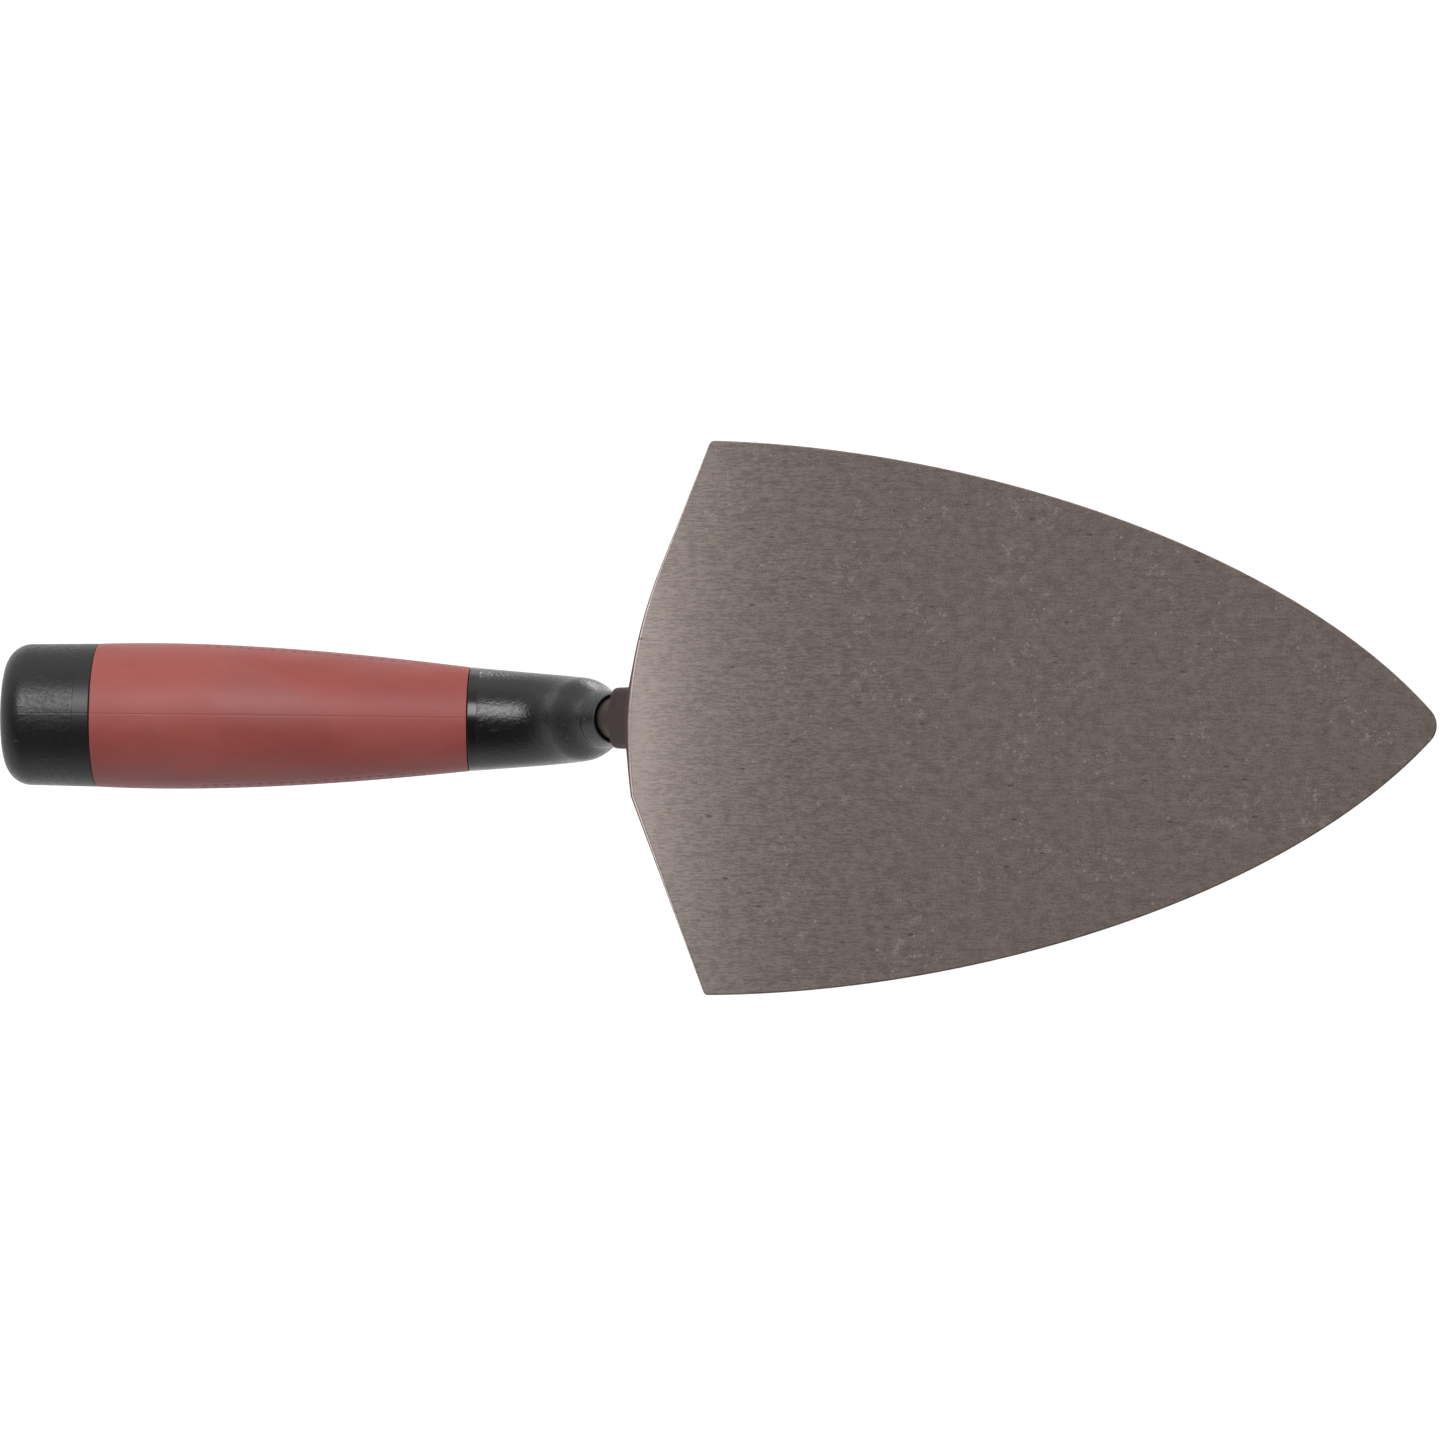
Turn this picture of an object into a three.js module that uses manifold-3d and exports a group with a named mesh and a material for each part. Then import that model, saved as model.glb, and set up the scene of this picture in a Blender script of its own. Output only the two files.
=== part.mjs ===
import * as THREE from 'three';
import { mergeVertices } from 'three/addons/utils/BufferGeometryUtils.js';
import Module from 'manifold-3d';

// A brick trowel, in millimetres. The flat underside of the blade is Z = 0, with Z up on the handle's side.
// The origin is the middle of the line that joins the two heel corners, and +X runs to the blade's tip.

const wasm = await Module();
wasm.setup();

// ---- Driving dimensions ----

const clearance = 0.3;            // gap between pieces that touch on the real tool

const blade = {
  length: 167,                    // heel-corner line to tip
  halfWidth: 63.5,                // at the heel corners
  heelThickness: 2.3,
  tipThickness: 1.2,
  tipRadius: 5.15,
  sideStartAngle: 1,              // degrees that a side leans in at the heel
  sideEndAngle: 48,               // degrees that it leans in where it meets the tip's arc
  sideStartPull: 63.2,            // reach of the side curve's two handles
  sideEndPull: 47.5,
  cornerRadius: 1,
  heelAngle: 20.5,                // degrees that the heel's straight edges slope back from the corners
  shoulderRight: -32.05,          // Y where each straight edge ends
  shoulderLeft: 18.3,
  heelDepth: 17.9,                // depth of the rounded heel between the shoulders
  heelDeepest: 3,                 // Y of its deepest point
  heelPullRight: -14,             // Y of the control points of its two halves
  heelPullLeft: 11,
  heelOverhang: 0.8,              // how far the upper edge stands behind the lower one at mid-heel
};

const shank = {
  radius: 5,                      // where the collar sits
  rootRadius: 5.4,                // at the blade
  lean: 30,                       // degrees between the shank and the vertical
};

const nose = {
  mouthX: -24.2,                  // centre of the nose's open end
  mouthZ: 25.5,
  seamX: -56.6,                   // centre of the joint between nose and grip
  seamZ: 46,
  mouthPull: 10.5,                // reach of the bend's two handles
  seamPull: 24,
  mouthRadius: 6.4,
  neckPull: [4.2, 7.1],           // [distance, radius] of the flare's two handles
  shoulderPull: [6.2, 9.6],
  shoulder: [11, 9.95],           // where the flare runs into the plain taper
  seamRadius: 12.4,
};

const handleTilt = 1.25;          // degrees that the handle rises to the butt

const collar = { length: 5.6, baseRadius: 6.6, endRadius: 6 };

const grip = {
  length: 88.6,
  frontPull: [11.75, 13.63],      // control points of its swelling profile: distance from the seam, radius
  rearPull: [52, 18.6],
};

const core = {
  frontRadius: 10.2,              // of the tube under the grip
  rearRadius: 13.6,
  hollowRadius: 10.5,
  hollowDepth: 15,
};

const cap = {
  length: 22.8,
  frontRadius: 17.05,
  rearRadius: 16.75,
  edgeRadius: 6,
  faceRadius: 8.5,                // flat striking face
  dome: 1,                        // how far that face stands proud of the rounded edge
  endWall: 9,
  spigotLength: 12,
  spigotBore: 8,
};

const tang = {
  startRadius: 4.1,               // just inside the nose, where it starts to square off
  startDistance: 8,
  squareness: 3,
  endHalfWidth: 2.6,
  reach: 68,                      // behind the seam
};

const root = {
  blockTop: 10.6,                 // under the mouth, where the shank starts to thicken into a square block
  blockFull: 14.3,                // and where the block has its full size
  blockHalfWidth: 7.1,
  blockHalfHeight: 5.7,
  blockSquareness: 8,
  fanMiddle: -9,
  fanFront: 36,
  fanBack: -15.5,
  fanHalfWidth: 24,
  fanHeight: 3.4,                 // above the blade's upper face
};

const steel = new THREE.MeshStandardMaterial({ color: 0x8a817b, roughness: 0.45, metalness: 0.9 });
const collarPlastic = new THREE.MeshStandardMaterial({ color: 0x2a2f30, roughness: 0.5, metalness: 0 });
const blackPlastic = new THREE.MeshStandardMaterial({ color: 0x232526, roughness: 0.55, metalness: 0 });
const redRubber = new THREE.MeshStandardMaterial({ color: 0x9a4642, roughness: 0.7, metalness: 0 });
const capPlastic = new THREE.MeshStandardMaterial({ color: 0x202223, roughness: 0.5, metalness: 0 });

const radians = THREE.MathUtils.degToRad;

// ---- Solids and booleans ----

// Turns a closed geometry into a manifold solid.
function toSolid(geometry) {
  const bare = geometry.clone();
  bare.deleteAttribute('normal');
  bare.deleteAttribute('uv');
  const merged = mergeVertices(bare, 1e-4);
  return new wasm.Manifold(new wasm.Mesh({
    numProp: 3,
    vertProperties: new Float32Array(merged.attributes.position.array),
    triVerts: new Uint32Array(merged.index.array),
  }));
}

// Turns a manifold solid back into a geometry with flat-shaded faces.
function toGeometry(solid) {
  const mesh = solid.getMesh();
  const geometry = new THREE.BufferGeometry();
  geometry.setAttribute('position', new THREE.BufferAttribute(mesh.vertProperties, 3));
  geometry.setIndex(new THREE.BufferAttribute(mesh.triVerts, 1));
  const flat = geometry.toNonIndexed();
  flat.computeVertexNormals();
  return flat;
}

// Closed body through rings of points that all have the same count and turn anticlockwise about the
// direction in which the rings follow each other. A fan of triangles closes each end.
function loft(rings) {
  const count = rings[0].length;
  const corners = rings.flat();
  const index = [];
  for (let r = 0; r < rings.length - 1; r++) {
    for (let i = 0; i < count; i++) {
      const a = r * count + i;
      const b = r * count + ((i + 1) % count);
      index.push(a, b, b + count, a, b + count, a + count);
    }
  }
  for (const r of [0, rings.length - 1]) {
    const hub = corners.length;
    const total = rings[r].reduce((sum, point) => sum.add(point), new THREE.Vector3());
    corners.push(total.divideScalar(count));
    for (let i = 0; i < count; i++) {
      const a = r * count + i;
      const b = r * count + ((i + 1) % count);
      index.push(r === 0 ? b : a, r === 0 ? a : b, hub);
    }
  }
  const geometry = new THREE.BufferGeometry().setFromPoints(corners);
  geometry.setIndex(index);
  return geometry;
}

// Body of revolution whose profile is a list of [radius, distance], with the distance running towards -X.
function turned(profile, segments = 36) {
  const points = profile.map(([radius, distance]) => new THREE.Vector2(radius, distance));
  return new THREE.LatheGeometry(points, segments).rotateZ(Math.PI / 2);
}

// ---- The spine that the shank, the nose and the handle share, in the XZ plane ----

const shankUp = new THREE.Vector3(-Math.sin(radians(shank.lean)), 0, Math.cos(radians(shank.lean)));
const backward = new THREE.Vector3(-Math.cos(radians(handleTilt)), 0, Math.sin(radians(handleTilt)));
const mouthPoint = new THREE.Vector3(nose.mouthX, 0, nose.mouthZ);
const seamPoint = new THREE.Vector3(nose.seamX, 0, nose.seamZ);

const noseBend = new THREE.CubicBezierCurve3(
  mouthPoint,
  mouthPoint.clone().addScaledVector(shankUp, nose.mouthPull),
  seamPoint.clone().addScaledVector(backward, -nose.seamPull),
  seamPoint,
);

// Point and direction at a distance along the spine: below zero it is the shank, under the mouth,
// then comes the bend, and past the bend the straight handle.
const bendLength = noseBend.getLength();
function spineAt(distance) {
  if (distance <= 0) {
    return { point: mouthPoint.clone().addScaledVector(shankUp, distance), along: shankUp };
  }
  if (distance < bendLength) {
    const u = distance / bendLength;
    return { point: noseBend.getPointAt(u), along: noseBend.getTangentAt(u) };
  }
  return { point: seamPoint.clone().addScaledVector(backward, distance - bendLength), along: backward };
}

// Closed body along the spine. Each station is [distance, half height, half width, squareness], and its
// section is a superellipse: squareness 2 is round, and a larger value is a square with round corners.
function sweep(stations, count = 24) {
  const sideways = new THREE.Vector3(0, 1, 0);
  const rings = stations.map(([distance, halfHeight, halfWidth, squareness]) => {
    const { point, along } = spineAt(distance);
    const across = new THREE.Vector3().crossVectors(sideways, along);
    return Array.from({ length: count }, (_, i) => {
      const angle = (2 * Math.PI * i) / count;
      const c = Math.cos(angle);
      const s = Math.sin(angle);
      return point.clone()
        .addScaledVector(across, halfHeight * Math.sign(c) * Math.abs(c) ** (2 / squareness))
        .addScaledVector(sideways, halfWidth * Math.sign(s) * Math.abs(s) ** (2 / squareness));
    });
  });
  return loft(rings);
}

// Stations between two ends, with every value eased in a straight line.
function stationsBetween(first, last, steps) {
  return Array.from({ length: steps + 1 }, (_, i) => first.map((value, k) => (
    THREE.MathUtils.lerp(value, last[k], i / steps)
  )));
}

// ---- Blade, bolster, shank and tang: one forging ----

// Outline of the blade's underside, from the left heel corner along the left side, round the tip, back
// along the right side, and across the heel. A side is a cubic curve that runs into the tip's arc.
function bladeOutline() {
  const slope = Math.tan(radians(blade.heelAngle));
  const shoulder = (y) => new THREE.Vector2(-(blade.halfWidth - Math.abs(y)) * slope, y);
  const shoulderRight = shoulder(blade.shoulderRight);
  const shoulderLeft = shoulder(blade.shoulderLeft);
  const leanIn = radians(blade.sideStartAngle);
  const leanOut = radians(blade.sideEndAngle);
  const tipCentre = blade.length - blade.tipRadius;
  const arcAngle = Math.PI / 2 - leanOut;
  const arcStart = new THREE.Vector2(
    tipCentre + blade.tipRadius * Math.cos(arcAngle),
    blade.tipRadius * Math.sin(arcAngle),
  );
  const r = blade.cornerRadius;

  const outline = new THREE.Shape();
  outline.moveTo(-r * slope, blade.halfWidth - r);
  outline.quadraticCurveTo(0, blade.halfWidth, r, blade.halfWidth);
  outline.bezierCurveTo(
    blade.sideStartPull * Math.cos(leanIn), blade.halfWidth - blade.sideStartPull * Math.sin(leanIn),
    arcStart.x - blade.sideEndPull * Math.cos(leanOut), arcStart.y + blade.sideEndPull * Math.sin(leanOut),
    arcStart.x, arcStart.y,
  );
  outline.absarc(tipCentre, 0, blade.tipRadius, arcAngle, -arcAngle, true);
  outline.bezierCurveTo(
    arcStart.x - blade.sideEndPull * Math.cos(leanOut), -arcStart.y - blade.sideEndPull * Math.sin(leanOut),
    blade.sideStartPull * Math.cos(leanIn), -blade.halfWidth + blade.sideStartPull * Math.sin(leanIn),
    r, -blade.halfWidth,
  );
  outline.quadraticCurveTo(0, -blade.halfWidth, -r * slope, -blade.halfWidth + r);
  outline.lineTo(shoulderRight.x, shoulderRight.y);
  outline.quadraticCurveTo(-blade.heelDepth, blade.heelPullRight, -blade.heelDepth, blade.heelDeepest);
  outline.quadraticCurveTo(-blade.heelDepth, blade.heelPullLeft, shoulderLeft.x, shoulderLeft.y);
  outline.closePath();
  return outline;
}

// Height of the blade's upper face, which tapers in one plane from heel to tip.
function upperFace(x) {
  return THREE.MathUtils.mapLinear(x, 0, blade.length, blade.heelThickness, blade.tipThickness);
}

function bladePlate() {
  const plate = new THREE.ExtrudeGeometry(bladeOutline(), {
    depth: blade.heelThickness,
    bevelEnabled: false,
    curveSegments: 20,
  });
  const position = plate.attributes.position;
  for (let i = 0; i < position.count; i++) {
    if (position.getZ(i) > 0) {
      const heelShare = Math.max(0, 1 - Math.abs(position.getY(i)) / blade.halfWidth);
      const onHeel = position.getX(i) < 0;
      const x = position.getX(i) - (onHeel ? blade.heelOverhang * heelShare : 0);
      position.setX(i, x);
      position.setZ(i, upperFace(x));
    }
  }
  return plate;
}

// Level ring, a superellipse that reaches further forward than back where the two distances differ.
function levelRing({ middle, z, back, front, halfWidth, squareness }, count = 28) {
  return Array.from({ length: count }, (_, i) => {
    const angle = (2 * Math.PI * i) / count;
    const c = Math.cos(angle);
    const s = Math.sin(angle);
    const reach = c > 0 ? front : back;
    return new THREE.Vector3(
      middle + reach * Math.sign(c) * Math.abs(c) ** (2 / squareness),
      halfWidth * Math.sign(s) * Math.abs(s) ** (2 / squareness),
      z,
    );
  });
}

// The fan-shaped mound that spreads from the shank over the blade's upper face.
function fanMound() {
  const levels = 6;
  const low = blade.tipThickness;
  const high = upperFace(0) + root.fanHeight;
  const rings = Array.from({ length: levels + 1 }, (_, i) => {
    const spread = (1 - i / levels) ** 1.5;
    return levelRing({
      middle: root.fanMiddle,
      z: THREE.MathUtils.lerp(low, high, i / levels),
      back: THREE.MathUtils.lerp(shank.radius - 1, root.fanMiddle - root.fanBack, spread),
      front: THREE.MathUtils.lerp(shank.radius + 2, root.fanFront - root.fanMiddle, spread),
      halfWidth: THREE.MathUtils.lerp(shank.radius, root.fanHalfWidth, spread),
      squareness: 2,
    });
  });
  return loft(rings);
}

// Tang: round at the mouth, then squaring off and tapering to its end in the handle.
// Spare is what a bore for it adds all round, and at its end.
function tangStations(spare = 0) {
  const start = tang.startRadius + spare;
  const end = tang.endHalfWidth + spare;
  return [
    ...stationsBetween(
      [0, shank.radius + spare, shank.radius + spare, 2],
      [tang.startDistance, start, start, tang.squareness],
      3,
    ),
    ...stationsBetween(
      [tang.startDistance, start, start, tang.squareness],
      [bendLength + tang.reach + spare, end, end, tang.squareness],
      12,
    ).slice(1),
  ];
}

// The square root block, the shank and the tang follow the spine, and what would reach below the
// underside is cut off flush with it.
function bladeForging() {
  const rootDistance = -nose.mouthZ / Math.cos(radians(shank.lean));
  const shankAndTang = sweep([
    [rootDistance, root.blockHalfHeight, root.blockHalfWidth, root.blockSquareness],
    [-root.blockFull, root.blockHalfHeight, root.blockHalfWidth, root.blockSquareness],
    [-root.blockTop, shank.rootRadius, shank.rootRadius, 2],
    [-1.2 * collar.length, shank.radius, shank.radius, 2],
    ...tangStations(),
  ]);
  const aboveUnderside = new THREE.BoxGeometry(600, 300, 200).translate(0, 0, 100);
  return toSolid(bladePlate())
    .add(toSolid(fanMound()))
    .add(toSolid(shankAndTang))
    .intersect(toSolid(aboveUnderside));
}

// ---- Handle ----

// Profile of the nose, as points of distance from its mouth and radius: a short flare, then a plain taper.
const noseProfile = [
  ...new THREE.CubicBezierCurve(
    new THREE.Vector2(0, nose.mouthRadius),
    new THREE.Vector2(...nose.neckPull),
    new THREE.Vector2(...nose.shoulderPull),
    new THREE.Vector2(...nose.shoulder),
  ).getPoints(24),
  new THREE.Vector2(bendLength, nose.seamRadius),
];

function noseRadius(distance) {
  const next = noseProfile.findIndex((point) => point.x >= Math.min(distance, bendLength));
  const high = Math.max(next, 1);
  const [from, to] = [noseProfile[high - 1], noseProfile[high]];
  return THREE.MathUtils.mapLinear(distance, from.x, to.x, from.y, to.y);
}

function handleCore() {
  const steps = 20;
  const noseStations = stationsBetween([0], [bendLength], steps).map(([distance]) => {
    const radius = noseRadius(distance);
    return [distance, radius, radius, 2];
  });
  const tubeStart = bendLength + clearance / 2;
  const tubeEnd = bendLength + grip.length - clearance;
  const outside = sweep([
    ...noseStations,
    [tubeStart, core.frontRadius, core.frontRadius, 2],
    [tubeEnd, core.rearRadius, core.rearRadius, 2],
  ], 32);
  const shankBore = shank.radius + clearance;
  const bore = sweep([[-2, shankBore, shankBore, 2], ...tangStations(clearance)]);
  const hollow = sweep([
    [tubeEnd - core.hollowDepth, core.hollowRadius, core.hollowRadius, 2],
    [tubeEnd + 2, core.hollowRadius, core.hollowRadius, 2],
  ], 32);
  return toSolid(outside).subtract(toSolid(bore)).subtract(toSolid(hollow));
}

// Sleeve moulded over the core's tube.
function softGrip() {
  const front = clearance;
  const rear = grip.length - clearance / 2;
  const inner = (distance) => THREE.MathUtils.mapLinear(
    distance, 0, grip.length, core.frontRadius, core.rearRadius,
  ) + clearance;
  const swell = new THREE.CubicBezierCurve(
    new THREE.Vector2(front, nose.seamRadius),
    new THREE.Vector2(...grip.frontPull),
    new THREE.Vector2(...grip.rearPull),
    new THREE.Vector2(rear, cap.frontRadius),
  );
  const outer = swell.getPoints(11).map((point) => [point.y, point.x]);
  return turned([...outer, [inner(rear), rear], [inner(front), front], outer[0]]);
}

// Cap with a rounded edge, a flat striking face and a hollow spigot that closes the core's end.
function endCap() {
  const front = grip.length + clearance / 2;
  const rear = grip.length + cap.length;
  const edgeStart = rear - cap.dome - cap.edgeRadius;
  const edge = Array.from({ length: 6 }, (_, i) => {
    const angle = (Math.PI / 2) * ((i + 1) / 7);
    return [
      cap.rearRadius - cap.edgeRadius * (1 - Math.cos(angle)),
      edgeStart + cap.edgeRadius * Math.sin(angle),
    ];
  });
  const spigotRadius = core.hollowRadius - clearance;
  const cavityEnd = rear - cap.endWall;
  return turned([
    [0, cavityEnd],
    [cap.spigotBore, cavityEnd],
    [cap.spigotBore, front - cap.spigotLength],
    [spigotRadius, front - cap.spigotLength],
    [spigotRadius, front],
    [cap.frontRadius, front],
    [cap.rearRadius, edgeStart],
    ...edge,
    [cap.faceRadius, rear],
    [0, rear],
  ]);
}

// Ring round the shank, against the end of the nose.
function tangCollar() {
  const bore = shank.radius + clearance;
  return turned([
    [bore, clearance],
    [collar.baseRadius, clearance],
    [collar.baseRadius, clearance + 1.2],
    [collar.endRadius, collar.length - 0.5],
    [collar.endRadius - 0.4, collar.length],
    [bore, collar.length],
    [bore, clearance],
  ]);
}

// ---- Assembly ----

const trowel = new THREE.Group();

function addPiece(name, geometry, material, parent = trowel) {
  const mesh = new THREE.Mesh(geometry, material);
  mesh.name = name;
  parent.add(mesh);
}

addPiece('blade_forging', toGeometry(bladeForging()), steel);
addPiece('handle_core', toGeometry(handleCore()), blackPlastic);

const collarSeat = new THREE.Group();
collarSeat.position.copy(mouthPoint);
collarSeat.quaternion.setFromUnitVectors(new THREE.Vector3(-1, 0, 0), shankUp.clone().negate());
trowel.add(collarSeat);
addPiece('tang_collar', tangCollar(), collarPlastic, collarSeat);

const handle = new THREE.Group();
handle.position.copy(seamPoint);
handle.rotation.y = radians(handleTilt);
trowel.add(handle);
addPiece('soft_grip', softGrip(), redRubber, handle);
addPiece('end_cap', endCap(), capPlastic, handle);

export default trowel;
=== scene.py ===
import bpy
import numpy as np
from mathutils import Matrix, Vector


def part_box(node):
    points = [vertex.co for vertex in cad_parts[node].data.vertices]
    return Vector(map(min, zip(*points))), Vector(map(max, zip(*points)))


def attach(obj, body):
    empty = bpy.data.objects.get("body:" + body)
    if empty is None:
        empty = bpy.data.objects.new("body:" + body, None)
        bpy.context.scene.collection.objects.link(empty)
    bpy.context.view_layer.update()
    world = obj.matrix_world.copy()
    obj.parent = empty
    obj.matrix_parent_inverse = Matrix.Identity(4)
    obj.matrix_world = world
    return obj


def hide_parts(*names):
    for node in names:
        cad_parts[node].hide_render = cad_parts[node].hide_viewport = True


# Brick trowel: a ground steel blade on a forged shank, a black core and butt cap, and a red soft grip.
# The pieces' settings are in millimetres and degrees. The meshes and the materials' lengths are in metres.

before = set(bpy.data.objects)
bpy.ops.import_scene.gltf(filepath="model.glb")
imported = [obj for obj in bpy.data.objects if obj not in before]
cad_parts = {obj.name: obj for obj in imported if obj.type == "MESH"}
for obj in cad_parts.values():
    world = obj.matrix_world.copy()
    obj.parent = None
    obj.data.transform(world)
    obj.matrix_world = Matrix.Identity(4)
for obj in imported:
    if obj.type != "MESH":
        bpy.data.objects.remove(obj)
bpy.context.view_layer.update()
print("frame loaded")

mm = 0.001
sideways = np.array([0.0, 1.0, 0.0])

forgingHigh = np.array(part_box("blade_forging")[1]) / mm


# Curves and surfaces. Lengths are in millimetres until putSurface makes the mesh.

def smoothStep(low, high, x):
    # Zero below low, one above high, and 3t^2 - 2t^3 between them.
    t = np.clip((x - low) / (high - low), 0, 1)
    return t * t * (3 - 2 * t)


def bezier(points, count):
    # Bezier curve of two to four control points, as the sum of each point times its Bernstein weight.
    points = np.array(points, float)
    order = len(points) - 1
    binomials = {1: (1, 1), 2: (1, 2, 1), 3: (1, 3, 3, 1)}[order]
    t = np.linspace(0, 1, count)[:, None]
    return sum(
        binomial * (1 - t) ** (order - i) * t ** i * point
        for i, (binomial, point) in enumerate(zip(binomials, points))
    )


def roundCorners(corners, steps=6):
    # Each corner is (distance, radius, rounding). A rounding above zero swaps the corner for a short
    # quadratic curve that starts and ends that far from it.
    points = np.array([corner[:2] for corner in corners], float)
    profile = [points[0]]
    for i in range(1, len(points) - 1):
        rounding = corners[i][2]
        if rounding == 0:
            profile.append(points[i])
            continue
        before, after = points[i - 1] - points[i], points[i + 1] - points[i]
        start = points[i] + before * min(0.49, rounding / np.linalg.norm(before))
        end = points[i] + after * min(0.49, rounding / np.linalg.norm(after))
        profile.extend(bezier([start, points[i], end], steps))
    profile.append(points[-1])
    return np.array(profile)


def putSurface(name, rings, material, startPole=False, endPole=False, looped=False, marks=None):
    # Rings of points, anticlockwise about the way that they follow each other, joined by four-sided faces.
    # A pole ring shrinks to one point, and a looped surface joins its last ring to its first. The marks
    # are numbers for each point, kept as attributes for the materials to read.
    body = slice(int(startPole), len(rings) - int(endPole))
    grid = rings[body]
    rows, columns = grid.shape[:2]
    corners = np.arange(rows * columns).reshape(rows, columns)
    lower, upper = (corners, np.roll(corners, -1, axis=0)) if looped else (corners[:-1], corners[1:])
    quads = np.stack([lower, np.roll(lower, -1, 1), np.roll(upper, -1, 1), upper], axis=-1).reshape(-1, 4)
    faces = quads.tolist()
    points = grid.reshape(-1, 3)
    values = {key: mark[body].reshape(-1) for key, mark in (marks or {}).items()}
    for isPole, ring, edge, turn in ((startPole, 0, corners[0], 1), (endPole, -1, corners[-1], -1)):
        if isPole:
            hub = np.full(columns, len(points))
            points = np.vstack([points, rings[ring].mean(axis=0)])
            fan = np.stack([np.roll(edge, -1), edge, hub], axis=-1)[:, ::turn]
            faces += fan.tolist()
            values = {key: np.append(value, marks[key][ring].mean()) for key, value in values.items()}
    mesh = bpy.data.meshes.new(name)
    mesh.from_pydata((points * mm).tolist(), [], faces)
    mesh.polygons.foreach_set("use_smooth", np.ones(len(mesh.polygons), dtype=bool))
    for key, value in values.items():
        mesh.attributes.new(key, "FLOAT", "POINT").data.foreach_set("value", value.astype(np.float32))
    mesh.materials.append(material)
    mesh.update()
    piece = bpy.data.objects.new(name, mesh)
    bpy.context.scene.collection.objects.link(piece)
    print(f"{name}: {len(points)} points, {len(faces)} faces")
    return piece


# The shank, the nose and the handle all lie along one spine.

spine = dict(
    mouth=(-24.2, 0, 25.5),   # centre of the nose's open end
    seam=(-56.6, 0, 46.0),    # centre of the joint between nose and grip
    shankLean=30.0,           # of the shank from the vertical
    handleTilt=1.25,          # of the handle, rising to the butt
    mouthPull=10.5,           # reach of the bend's two handles
    seamPull=24.0,
)

lean, tilt = np.radians(spine["shankLean"]), np.radians(spine["handleTilt"])
shankUp = np.array([-np.sin(lean), 0, np.cos(lean)])
backward = np.array([-np.cos(tilt), 0, np.sin(tilt)])
mouth, seam = np.array(spine["mouth"], float), np.array(spine["seam"], float)
bendPoints = [mouth, mouth + spine["mouthPull"] * shankUp, seam - spine["seamPull"] * backward, seam]
bend = bezier(bendPoints, 1501)
bendDistance = np.append(0, np.cumsum(np.linalg.norm(np.diff(bend, axis=0), axis=1)))
bendTangent = np.gradient(bend, bendDistance, axis=0)
seamDistance = bendDistance[-1]


def spineAt(distance):
    # Point and direction at each distance: the straight shank below zero, then the bend, then the handle.
    point = np.stack([np.interp(distance, bendDistance, bend[:, k]) for k in range(3)], axis=-1)
    point += np.minimum(distance, 0)[:, None] * shankUp
    point += np.maximum(distance - seamDistance, 0)[:, None] * backward
    along = np.stack([np.interp(distance, bendDistance, bendTangent[:, k]) for k in range(3)], axis=-1)
    return point, along / np.linalg.norm(along, axis=1, keepdims=True)


def sweepRings(distance, halfHeight, halfWidth, angles, squareness=2.0, sideShift=0.0):
    # Superellipse sections carried along the spine. At angle a the reach r solves
    # |r cos a / halfHeight|^n + |r sin a / halfWidth|^n = 1, and angle zero is the upper or the front side.
    # Sizes are one number, one for each section, or one for each section and angle.
    distance = np.asarray(distance, float)

    def perSection(size):
        size = np.asarray(size, float)
        return size if size.ndim == 2 else np.broadcast_to(size, distance.shape)[:, None]

    tiny = 1e-9
    height = np.maximum(perSection(halfHeight), tiny)
    width = np.maximum(perSection(halfWidth), tiny)
    power = perSection(squareness)
    point, along = spineAt(distance)
    across = np.cross(sideways, along)
    c, s = np.cos(angles), np.sin(angles)
    far = np.maximum(height, width)
    reach = far * (np.abs(c * far / height) ** power + np.abs(s * far / width) ** power) ** (-1 / power)
    up, side = reach * c, reach * s + perSection(sideShift)
    return point[:, None, :] + up[..., None] * across[:, None, :] + side[..., None] * sideways


# Short forms for the nodes that the materials are built from.

def addNode(tree, kind, inputs=None, **settings):
    # An input that is a socket is linked, and any other is set.
    made = tree.nodes.new(kind)
    for key, value in settings.items():
        setattr(made, key, value)
    for key, value in (inputs or {}).items():
        if isinstance(value, bpy.types.NodeSocket):
            tree.links.new(value, made.inputs[key])
        else:
            made.inputs[key].default_value = value
    return made


def mathNode(tree, operation, *values, clamp=False):
    # Each value is a number or a socket.
    inputs = dict(enumerate(values))
    return addNode(tree, "ShaderNodeMath", inputs, operation=operation, use_clamp=clamp).outputs[0]


def mapRange(tree, value, fromLow, fromHigh, toLow, toHigh, smooth=True):
    inputs = {"Value": value, "From Min": fromLow, "From Max": fromHigh, "To Min": toLow, "To Max": toHigh}
    kind = "SMOOTHSTEP" if smooth else "LINEAR"
    return addNode(tree, "ShaderNodeMapRange", inputs, interpolation_type=kind).outputs["Result"]


def mixColor(tree, factor, first, second):
    # The colour sockets of a Mix node are inputs 6 and 7 and output 2.
    inputs = {0: factor, 6: first, 7: second}
    return addNode(tree, "ShaderNodeMix", inputs, data_type="RGBA", clamp_result=True).outputs[2]


def noise(tree, vector, scale, detail=2.0, roughness=0.5):
    inputs = {"Vector": vector, "Scale": scale, "Detail": detail, "Roughness": roughness}
    return addNode(tree, "ShaderNodeTexNoise", inputs).outputs["Fac"]


def stretched(tree, vector, scale, turn=0.0):
    # Coordinates scaled differently along each axis and turned about Z, so that noise comes out as streaks.
    inputs = {"Vector": vector, "Scale": scale, "Rotation": (0, 0, np.radians(turn))}
    return addNode(tree, "ShaderNodeMapping", inputs).outputs["Vector"]


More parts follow.
